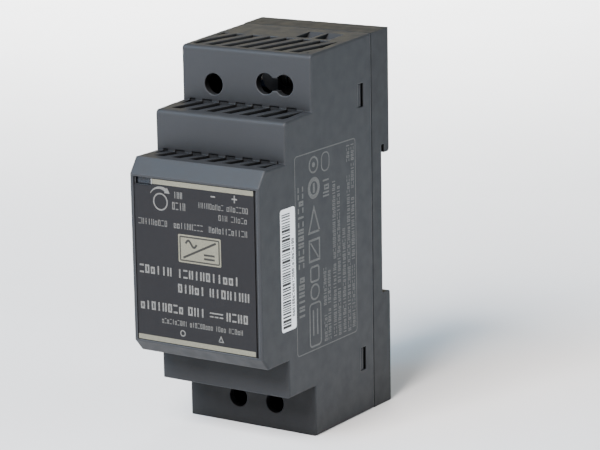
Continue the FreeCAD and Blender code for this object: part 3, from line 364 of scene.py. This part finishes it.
FINISHES = {
    "case_plastic": moulded("case_plastic", SLATE, 0.5, edge=0.4),
    "cover_plastic": moulded("cover_plastic", shade(SLATE, 0.72), 0.52, edge=0.4),
    "foot_plastic": moulded("foot_plastic", (0.018, 0.019, 0.021), 0.45, grain=0.3),
    "panel_print": printed_film("panel_print", (0.0075, 0.0074, 0.0086)),
    "paper": paper("paper", (0.80, 0.81, 0.82)),
    "clear_plastic": smoky_clear("clear_plastic", (0.015, 0.02, 0.028)),
    "spring_steel": metal("spring_steel", (0.55, 0.55, 0.56), 0.3, (1, 1, 1)),
    "board_laminate": solder_mask("board_laminate", (0.02, 0.13, 0.06), (0.07, 0.24, 0.09)),
    "film": printed_film("film", (0.6, 0.56, 0.44)),
    "led_lens": coated("led_lens", (0.12, 0.45, 0.16), 0.2),
    "black_moulding": moulded("black_moulding", (0.02, 0.02, 0.02), 0.4),
    "green_coating": coated("green_coating", (0.04, 0.16, 0.07)),
    "blue_coating": coated("blue_coating", (0.03, 0.14, 0.45)),
    "yellow_box": moulded("yellow_box", (0.65, 0.42, 0.04), 0.35, relief=0.006),
    "ferrite": ferrite("ferrite", (0.045, 0.045, 0.05)),
    "enamelled_copper": enamelled_wire("enamelled_copper", (0.60, 0.22, 0.08)),
    "epoxy": moulded("epoxy", (0.016, 0.016, 0.018), 0.5, grain=0.3),
    "can_sleeve": can_sleeve("can_sleeve", (0.02, 0.022, 0.035), (0.5, 0.5, 0.52)),
    "aluminium": metal("aluminium", (0.72, 0.73, 0.75), 0.35, (0.2, 1, 1)),
    "zinc_steel": metal("zinc_steel", (0.62, 0.62, 0.60), 0.3, (1, 0.3, 1)),
    "winding_tape": film_tape("winding_tape", (0.70, 0.50, 0.06)),
    "terminal_plastic": moulded("terminal_plastic", (0.009, 0.0095, 0.011), 0.5),
    "tinned_brass": metal("tinned_brass", (0.68, 0.64, 0.54), 0.3, (1, 0.4, 1)),
    "trimmer_moulding": moulded("trimmer_moulding", (0.012, 0.02, 0.04), 0.35, relief=0.006),
    "trimmer_white": moulded("trimmer_white", (0.75, 0.75, 0.70), 0.4, relief=0.006),
}
PRINT_INK = ink("print_ink", PRINT, 0.55)
FAINT_INK = ink("faint_ink", shade(PRINT, 0.78), 0.5)
# Pale ink for the painted highlight on the label's edge beside the window.
EDGE_HIGHLIGHT_INK = ink("edge_highlight_ink", (0.26, 0.27, 0.27), 0.8)
CREAM_INK = ink("cream_ink", CREAM, 0.72)
DARK_INK = ink("dark_ink", (0.011, 0.0105, 0.009), 1.3)


def paint_parts():
    """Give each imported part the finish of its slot."""
    for part in frame["record"]["subparts"]:
        node = frame["nodes"][part["node"]]
        for slot in node.material_slots:
            slot.material = FINISHES[part["material_slot"]]


# ---- printed marks -----------------------------------------------------------------------------

class Face:
    """One flat face of the case that takes print: an origin and the directions right, up and out."""

    def __init__(self, origin, right, up):
        self.origin = Vector(origin)
        self.right = Vector(right)
        self.up = Vector(up)
        self.out = self.right.cross(self.up)

    def point(self, u, v, height):
        """The place of (u, v) at a height over the face, in metres."""
        return (self.origin + self.right * u + self.up * v + self.out * height) * MM


class Print:
    """Marks in one ink on one face, built as thin closed patches that must not overlap."""

    def __init__(self, face, low=0.0, high=INK_THICKNESS):
        self.face = face
        self.low = low
        self.high = high
        self.mesh = bmesh.new()

    def patch(self, outline):
        """A filled patch; the outline goes round anticlockwise."""
        top = [self.mesh.verts.new(self.face.point(u, v, self.high)) for u, v in outline]
        base = [self.mesh.verts.new(self.face.point(u, v, self.low)) for u, v in outline]
        self.mesh.faces.new(top)
        self.mesh.faces.new(reversed(base))
        for index, corner in enumerate(top):
            following = (index + 1) % len(top)
            self.mesh.faces.new((corner, base[index], base[following], top[following]))

    def bar(self, u, v):
        """A filled rectangle."""
        self.patch([(u[0], v[0]), (u[1], v[0]), (u[1], v[1]), (u[0], v[1])])

    def stroke(self, points, width):
        """A line of one width through points, mitred at its bends."""
        places = [Vector(point) for point in points]
        steps = [(after - before).normalized() for before, after in zip(places, places[1:])]
        left, right = [], []
        for index, place in enumerate(places):
            before = steps[max(index - 1, 0)]
            after = steps[min(index, len(steps) - 1)]
            along = (before + after).normalized()
            side = Vector((-along.y, along.x))
            reach = side * (width / 2 / max(along.dot(after), 0.35))
            left.append(place + reach)
            right.append(place - reach)
        for index in range(len(steps)):
            self.patch([right[index], right[index + 1], left[index + 1], left[index]])

    def arc(self, centre, radius, width, start=0, end=360):
        """Part of a ring between two angles in degrees."""
        count = max(6, round(abs(end - start) / 10))
        angles = [math.radians(start + (end - start) * index / count) for index in range(count + 1)]
        inner, outer = radius - width / 2, radius + width / 2
        for first, second in zip(angles, angles[1:]):
            corners = ((inner, first), (outer, first), (outer, second), (inner, second))
            self.patch([(centre[0] + reach * math.cos(angle), centre[1] + reach * math.sin(angle))
                        for reach, angle in corners])

    def disc(self, centre, radius):
        """A filled circle."""
        sides = 28
        angles = [math.tau * index / sides for index in range(sides)]
        self.patch([(centre[0] + radius * math.cos(angle), centre[1] + radius * math.sin(angle))
                    for angle in angles])

    def frame(self, u, v, width, radius=0.0):
        """A hollow rectangle with rounded corners."""
        self.stroke(rounded(u, v, radius), width)

    def piece(self, name, material, body="root"):
        """The finished layer as a piece that rides on a body."""
        return mesh_piece(name, self.mesh, material, body)


def rounded(u, v, radius):
    """The closed outline of a rectangle with rounded corners, anticlockwise from the lower side."""
    points = []
    corners = [(u[1] - radius, v[0] + radius, -90), (u[1] - radius, v[1] - radius, 0),
               (u[0] + radius, v[1] - radius, 90), (u[0] + radius, v[0] + radius, 180)]
    for cx, cy, start in corners:
        steps = 6 if radius > 0 else 1
        for index in range(steps + (radius > 0)):
            angle = math.radians(start + 90 * index / steps)
            points.append((cx + radius * math.cos(angle), cy + radius * math.sin(angle)))
    middle = ((points[-1][0] + points[0][0]) / 2, v[0])
    return [middle] + points + [middle]


def mesh_piece(name, mesh, material, body, smooth=False):
    """A piece from a finished bmesh, riding on a body."""
    data = bpy.data.meshes.new(name)
    mesh.to_mesh(data)
    mesh.free()
    data.materials.append(material)
    if smooth:
        data.shade_smooth()
    piece = bpy.data.objects.new(name, data)
    bpy.context.scene.collection.objects.link(piece)
    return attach(piece, body)


MARK_SHARE = 0.74
MARK_KINDS = 5
LOW_BOX_SHARE = 0.72


def marks_row(layer, words, v, stroke, chance, fill=0.62):
    """A row of abstract marks that stand for words; each word is a (start, end) span along u.

    A mark with the gap after it is about fill times as wide as the row is high.
    """
    height = v[1] - v[0]
    for start, end in words:
        count = max(1, round((end - start) / (height * fill)))
        pitch = (end - start) / count
        for index in range(count):
            left = start + pitch * index
            mark(layer, (left, left + pitch * MARK_SHARE), v, stroke, chance.randrange(MARK_KINDS))


def mark(layer, u, v, stroke, kind):
    """One abstract mark in a cell: a stem, a box, two dashes, a low box or two stems."""
    middle = (u[0] + u[1]) / 2
    low_box_top = v[0] + (v[1] - v[0]) * LOW_BOX_SHARE
    if kind == 0:
        layer.bar((middle - stroke / 2, middle + stroke / 2), v)
    elif kind == 1:
        layer.frame((u[0] + stroke / 2, u[1] - stroke / 2), (v[0] + stroke / 2, v[1] - stroke / 2), stroke)
    elif kind == 2:
        layer.bar(u, (v[1] - stroke, v[1]))
        layer.bar(u, (v[0], v[0] + stroke))
    elif kind == 3:
        layer.frame((u[0] + stroke / 2, u[1] - stroke / 2), (v[0] + stroke / 2, low_box_top), stroke)
    else:
        layer.bar((u[0], u[0] + stroke), v)
        layer.bar((u[1] - stroke, u[1]), v)


FRONT = Face((0, LABEL_FACE, 0), (1, 0, 0), (0, 0, 1))
SIDE = Face((SIDE_FACE, REAR_FACE, 0), (0, 0, 1), (0, -1, 0))


def label_strips():
    """Cream strips along the label's top and bottom edges, and a painted highlight: a pale line for the lit
    edge beside the window.
    """
    window_end = LABEL_LEFT + 5.1
    strips = Print(FRONT)
    strips.bar((window_end, LABEL_RIGHT - 0.15), (LABEL_TOP - 1.2, LABEL_TOP - 0.1))
    strips.bar((LABEL_LEFT + 0.1, LABEL_RIGHT - 0.25), (LABEL_BASE + 0.05, LABEL_BASE + 1.2))
    strips.piece("label_strips", CREAM_INK)
    # Painted highlight: a pale ink bar standing for the lit edge of the label beside the window.
    window_edge_highlight = Print(FRONT)
    window_edge_highlight.bar((window_end - 0.35, window_end - 0.18), (LABEL_TOP - 1.3, LABEL_TOP - 0.1))
    window_edge_highlight.piece("window_edge_highlight", EDGE_HIGHLIGHT_INK)


def turn_arrow(layer, middle, radius):
    """Arrow that swells as it turns clockwise over the trimmer's ring, and ends in a triangular head."""
    start, end, parts = 150, 58, 12
    step = (start - end) / parts
    for index in range(parts):
        reached = start - step * (index + 1)
        layer.arc(middle, radius, 0.12 + 0.06 * index, reached, reached + step)
    head_half, head_length = 0.75, 1.3
    angle = math.radians(end)
    outward = Vector((math.cos(angle), math.sin(angle)))
    onward = Vector((outward.y, -outward.x))
    root = Vector(middle) + outward * radius
    corners = (root - outward * head_half, root + onward * head_length, root + outward * head_half)
    layer.patch([tuple(corner) for corner in corners])


def polarity_signs(layer, minus, plus, v):
    """Minus and plus signs centred at two places along one height."""
    minus_half, plus_half, thick, arm = 0.6, 0.7, 0.3, 0.7
    layer.bar((minus - minus_half, minus + minus_half), (v - thick / 2, v + thick / 2))
    layer.bar((plus - plus_half, plus + plus_half), (v - thick / 2, v + thick / 2))
    for low in (v - thick / 2 - arm, v + thick / 2):
        layer.bar((plus - thick / 2, plus + thick / 2), (low, low + arm))


def direct_current_sign(layer, u, v):
    """A line over three dashes, from a left end and a base height."""
    dash, pitch, thick, rise = 1.0, 1.3, 0.3, 0.8
    layer.bar((u, u + 2 * pitch + dash), (v + rise, v + rise + thick))
    for index in range(3):
        left = u + index * pitch
        layer.bar((left, left + dash), (v, v + thick))


def label_marks():
    """Ring and arrow of the trimmer, polarity signs, the current sign and the rows of marks."""
    chance = random.Random(7)
    bold = Print(FRONT)
    bold.arc((-9.2, 56.3), 1.85, 0.32)
    turn_arrow(bold, (-9.3, 56.5), 3.0)
    polarity_signs(bold, 5.1, 10.8, 58.95)
    bold_height, bold_stroke, bold_fill = 2.0, 0.4, 0.78
    for v, words in ((39.4, [(-15.5, -6.3), (-5.0, 11.9)]),
                     (36.0, [(-5.0, 2.6), (3.6, 14.6)]),
                     (31.0, [(-15.5, -3.4), (-2.4, 2.6), (8.0, 14.1)])):
        marks_row(bold, words, (v, v + bold_height), bold_stroke, chance, bold_fill)
    direct_current_sign(bold, 3.5, 31.4)
    bold.arc((-4.0, 26.6), 0.62, 0.26)
    bold.stroke([(5.8, 26.0), (7.0, 26.0), (6.4, 27.2), (5.8, 26.0)], 0.24)
    bold.piece("label_bold_marks", PRINT_INK)

    fine = Print(FRONT)
    for v, height, stroke, words in ((57.5, 1.5, 0.24, [(-5.5, -3.0)]),
                                     (54.9, 1.7, 0.24, [(-6.0, -2.2)]),
                                     (56.0, 1.3, 0.17, [(1.0, 8.0), (8.7, 14.5)]),
                                     (53.7, 1.3, 0.17, [(6.5, 9.0), (9.8, 14.2)]),
                                     (50.7, 1.4, 0.2, [(-15.5, -7.3), (-5.7, 2.4), (3.8, 14.2)]),
                                     (28.3, 1.2, 0.17, [(-9.7, -2.6), (-2.0, 4.4), (5.0, 7.9), (8.6, 12.5)])):
        marks_row(fine, words, (v, v + height), stroke, chance)
    fine.piece("label_fine_marks", FAINT_INK)


def converter_emblem():
    """Plain converter sign in a pale box: a wave over a slope over two dashes."""
    left, right, low, high = -4.6, 6.9, 43.1, 49.5
    plate = Print(FRONT)
    plate.patch(rounded((left, right), (low, high), 0.3)[:-1])
    plate.piece("emblem_plate", CREAM_INK)
    lines = Print(FRONT, INK_THICKNESS, INK_THICKNESS + 0.015)
    margin, line = 0.5, 0.5
    lines.frame((left + margin, right - margin), (low + margin, high - margin), 0.32, 0.2)
    lines.stroke([(left + 1.3, low + 1.1), (right - 1.3, high - 1.1)], line)
    wave_length, wave_height, steps = 3.0, 0.75, 12
    wave = [(left + 2.0 + wave_length * step / steps,
             high - 2.0 + wave_height * math.sin(math.tau * step / steps)) for step in range(steps + 1)]
    lines.stroke(wave, line)
    for base in (low + 1.2, low + 2.1):
        lines.bar((right - 4.6, right - 1.7), (base, base + 0.45))
    lines.piece("emblem_lines", DARK_INK)


def side_signs(layer):
    """Generic signs in a column, from a dotted ring at the top down to a box with two lines."""
    column, upper, lower = 32.7, 63.4, 58.1
    layer.arc((upper, column), 1.75, 0.42)
    layer.disc((upper, column), 0.6)
    layer.arc((lower, column), 2.0, 0.95)
    layer.bar((lower - 1.1, lower + 1.1), (column - 0.4, column + 0.4))
    layer.stroke([(48.0, 30.6), (53.6, 32.8), (48.0, 35.0), (48.0, 30.6)], 0.5)
    layer.frame((41.4, 46.2), (30.7, 34.9), 0.5)
    layer.stroke([(41.9, 31.2), (45.7, 34.4)], 0.4)
    layer.frame((36.6, 40.0), (31.1, 34.5), 0.45, 0.6)
    layer.frame((32.4, 35.8), (31.1, 34.5), 0.45, 1.6)
    layer.frame((21.5, 31.5), (30.5, 35.1), 0.4, 0.9)
    for rear in (33.4, 31.7):
        layer.bar((24.0, 30.0), (rear, rear + 0.5))
    layer.frame((61.2, 65.4), (26.2, 29.4), 0.3, 1.4)


def side_marks():
    """Faint print on the right side: a frame, columns of marks that run upwards, generic signs."""
    chance = random.Random(19)
    layer = Print(SIDE, 0.0, 0.02)
    layer.frame((20.6, 66.4), (15.0, 40.4), 0.22, 0.8)
    marks_row(layer, [(29.0, 39.0), (40.6, 59.7)], (37.1, 39.4), 0.5, chance, 0.72)
    rear_columns = ((24.4, [(21.5, 39), (40, 58.5)]), (22.5, [(21.5, 33), (34, 56.8)]),
                    (20.3, [(21.5, 46.5)]), (18.2, [(21.5, 58.5), (61.5, 65.7)]),
                    (16.3, [(22, 37), (38, 53), (55, 61), (61.5, 65.7)]))
    middle_columns = ((28.6, [(30, 39)]), (26.8, [(30, 38), (21.5, 29)]), (28.4, [(21.5, 28)]))
    fine_stroke, fine_fill = 0.24, 0.7
    for half, columns in ((0.62, rear_columns), (0.6, middle_columns)):
        for depth, spans in columns:
            marks_row(layer, spans, (depth - half, depth + half), fine_stroke, chance, fine_fill)
    marks_row(layer, [(55.2, 60.0)], (26.4, 28.9), 0.4, chance)
    side_signs(layer)
    layer.piece("side_marks", FAINT_INK)


def bar_sticker():
    """White sticker with rounded corners, upright bars and one row of marks."""
    chance = random.Random(41)
    low, high = STICKER_LOW.z / MM, STICKER_HIGH.z / MM
    rear, front = REAR_FACE - STICKER_HIGH.y / MM, REAR_FACE - STICKER_LOW.y / MM
    thickness = (STICKER_HIGH.x - STICKER_LOW.x) / MM
    paper_share, margin = 0.75, 0.8
    paper_face = thickness * paper_share
    sheet = Print(SIDE, 0.0, paper_face)
    sheet.patch(rounded((low, high), (rear, front), 0.7)[:-1])
    sticker = sheet.piece("bar_sticker", FINISHES["paper"])
    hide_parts("serial_label")
    bars = Print(SIDE, paper_face, thickness)
    at = low + margin
    while at < high - 1.2:
        width = chance.choice((0.25, 0.3, 0.4, 0.6))
        bars.bar((at, at + width), (rear + 2.1, front - 0.5))
        at += width + chance.choice((0.2, 0.25, 0.4))
    marks_row(bars, [(low + 3, high - 7)], (rear + 0.6, rear + 1.6), 0.2, chance, 0.7)
    bars.piece("sticker_bars", DARK_INK)


# ---- wound coils -------------------------------------------------------------------------------

def tube(mesh, path, radius, sides=8):
    """A closed round tube along a path of points in metres; each ring is turned as little as can be."""
    rings = []
    angles = [math.tau * side / sides for side in range(sides)]
    across = (path[1] - path[0]).orthogonal().normalized()
    for index, place in enumerate(path):
        ahead = path[min(index + 1, len(path) - 1)] - path[max(index - 1, 0)]
        across = (across - ahead * (across.dot(ahead) / ahead.length_squared)).normalized()
        other = ahead.normalized().cross(across)
        rings.append([mesh.verts.new(place + (across * math.cos(angle) + other * math.sin(angle)) * radius)
                      for angle in angles])
    for first, second in zip(rings, rings[1:]):
        for side in range(sides):
            following = (side + 1) % sides
            mesh.faces.new((first[side], first[following], second[following], second[side]))
    mesh.faces.new(reversed(rings[0]))
    mesh.faces.new(rings[-1])


def choke_coils():
    """Two windings of enamelled wire round the ring core of the input choke."""
    low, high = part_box("choke_core")
    centre = (low + high) / 2
    wire = 0.42 * MM
    clear = wire * 1.05
    outer_half, inner_radius = (high.x - low.x) / 2, 2.4 * MM
    middle_radius = (outer_half + inner_radius) / 2
    across = (outer_half - inner_radius) / 2 + clear
    along = (high.z - low.z) / 2 + clear
    mesh = bmesh.new()
    turns, steps, spread, fullest = 9, 16, math.radians(118), 1.12
    for side in (0, math.pi):
        path = []
        for step in range(turns * steps + 1):
            share = step / (turns * steps)
            angle = side + (share - 0.5) * spread
            phase = math.tau * turns * share
            square = min(1 / max(abs(math.cos(phase)), abs(math.sin(phase))), fullest)
            reach = middle_radius + across * math.cos(phase) * square
            path.append(centre + Vector((reach * math.cos(angle), reach * math.sin(angle),
                                         along * math.sin(phase) * square)))
        tube(mesh, path, wire)
    coils = mesh_piece("choke_coils", mesh, FINISHES["enamelled_copper"], "root", smooth=True)
    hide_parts("choke_windings")


def drum_coil():
    """Layer of turns in the waist of the output choke."""
    low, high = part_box("output_choke_winding")
    centre = (low + high) / 2
    wire = 0.3 * MM
    radius = (high.x - low.x) / 2 - wire
    length = high.y - low.y - 2 * wire
    turns, steps = int(length / (2.05 * wire)), 24
    mesh = bmesh.new()
    path = []
    for step in range(turns * steps + 1):
        angle = math.tau * step / steps
        along = low.y + wire + length * step / (turns * steps)
        path.append(Vector((centre.x + radius * math.cos(angle), along,
                            centre.z + radius * math.sin(angle))))
    tube(mesh, path, wire)
    coil = mesh_piece("drum_coil", mesh, FINISHES["enamelled_copper"], "root", smooth=True)
    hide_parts("output_choke_winding")


def foot_spring():
    """Coil spring of the rail foot, with closed end turns."""
    low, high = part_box("clip_spring")
    middle = (low + high) / 2
    wire = 0.18 * MM
    radius = (high.x - low.x) / 2 - wire
    turns, steps = 10, 20
    end_rise = 2.1 * wire
    inner_rise = (high.z - low.z - 2 * wire - 2 * end_rise) / (turns - 2)
    mesh = bmesh.new()
    path = []
    height = low.z + wire
    for step in range(turns * steps + 1):
        angle = math.tau * step / steps
        path.append(Vector((middle.x + radius * math.cos(angle), middle.y + radius * math.sin(angle),
                            height)))
        at_end = step < steps or step >= (turns - 1) * steps
        height += (end_rise if at_end else inner_rise) / steps
    tube(mesh, path, wire)
    spring = mesh_piece("foot_spring", mesh, FINISHES["spring_steel"], "root", smooth=True)
    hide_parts("clip_spring")
    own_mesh(spring)


# ---- studio ------------------------------------------------------------------------------------

CAMERA_AZIMUTH, CAMERA_ELEVATION, CAMERA_ROLL = (math.radians(angle) for angle in (33.13, 13.13, -0.95))
CAMERA_AIM = (CAD_LOW + CAD_HIGH) / 2 + Vector((6.9, 4.85, 1.26)) * MM
CAMERA_DISTANCE = 580.9 * MM
CAMERA_LENS = 151.2


def direction(azimuth, elevation):
    """The way from the object to a viewer; azimuth 0 is in front and 90 on the right."""
    return Vector((math.sin(azimuth) * math.cos(elevation), -math.cos(azimuth) * math.cos(elevation),
                   math.sin(elevation)))


def make_camera():
    """Camera in front, to the right and a little above, with a long lens."""
    back = direction(CAMERA_AZIMUTH, CAMERA_ELEVATION)
    data = bpy.data.cameras.new("camera")
    data.lens = CAMERA_LENS
    data.clip_start, data.clip_end = 0.01, 20
    camera = bpy.data.objects.new("camera", data)
    camera.location = CAMERA_AIM + back * CAMERA_DISTANCE
    upright = (-back).to_track_quat("-Z", "Y").to_matrix()
    camera.rotation_euler = (upright @ Matrix.Rotation(CAMERA_ROLL, 3, "Z")).to_euler()
    bpy.context.scene.collection.objects.link(camera)
    bpy.context.scene.camera = camera


def softbox(name, azimuth, elevation, distance, size, power, colour, spread=180, down=False):
    """A square studio light aimed at the object, or straight down; angles in degrees, lengths in metres."""
    data = bpy.data.lights.new(name, "AREA")
    data.size = size
    data.spread = math.radians(spread)
    data.energy = power
    data.color = colour
    light = bpy.data.objects.new(name, data)
    away = direction(math.radians(azimuth), math.radians(elevation))
    light.location = (CAD_LOW + CAD_HIGH) / 2 + away * distance
    aim = Vector((0, 0, -1)) if down else -away
    light.rotation_euler = aim.to_track_quat("-Z", "Y").to_euler()
    bpy.context.scene.collection.objects.link(light)


def make_floor():
    """Wide pale floor with a very faint mottle."""
    finish = Finish("floor_paint", Specular_IOR_Level=0.2)
    cloud = finish.noise(60, detail=3)
    paint = finish.mix(finish.span(cloud, 0.3, 0.7), (0.79, 0.79, 0.79), (0.81, 0.81, 0.81))
    finish.give(finish.shader, "Base Color", paint)
    finish.rough(finish.span(cloud, 0.3, 0.7, 0.75, 0.85))
    radius, sides, gap = 4000 * MM, 96, 0.02 * MM
    mesh = bmesh.new()
    angles = [math.tau * side / sides for side in range(sides)]
    mesh.faces.new([mesh.verts.new((radius * math.cos(angle), radius * math.sin(angle), CAD_LOW.z - gap))
                    for angle in angles])
    data = bpy.data.meshes.new("floor")
    mesh.to_mesh(data)
    mesh.free()
    data.materials.append(finish.done())
    floor = bpy.data.objects.new("floor", data)
    bpy.context.scene.collection.objects.link(floor)


def make_light():
    """Dim surroundings and six boxes: key, bluish one above, side fill, warm rear, low glint, backdrop."""
    world = bpy.data.worlds.new("studio")
    world.use_nodes = True
    background = world.node_tree.nodes["Background"]
    background.inputs["Color"].default_value = (0.93, 0.96, 1.0, 1)
    background.inputs["Strength"].default_value = 0.03
    bpy.context.scene.world = world
    softbox("key", 0, 42, 1.0, 0.5, 37, (1.0, 0.94, 0.91))
    softbox("sky", -30, 42, 1.0, 0.5, 7, (0.12, 0.56, 1.0))
    softbox("right_fill", 112, 4, 0.8, 0.4, 7, (0.79, 0.91, 1.0))
    softbox("warm_rear", 216, 16, 1.2, 0.4, 0.6, (1.0, 0.86, 0.5))
    softbox("edge_glint", 57, -4, 0.8, 0.25, 0.8, (1.0, 1.0, 1.0))
    softbox("backdrop", 215, 40, 1.15, 0.9, 16, (1.0, 1.0, 1.0), spread=70, down=True)


paint_parts()
label_strips()
label_marks()
converter_emblem()
side_marks()
bar_sticker()
choke_coils()
drum_coil()
foot_spring()
make_camera()
make_floor()
make_light()
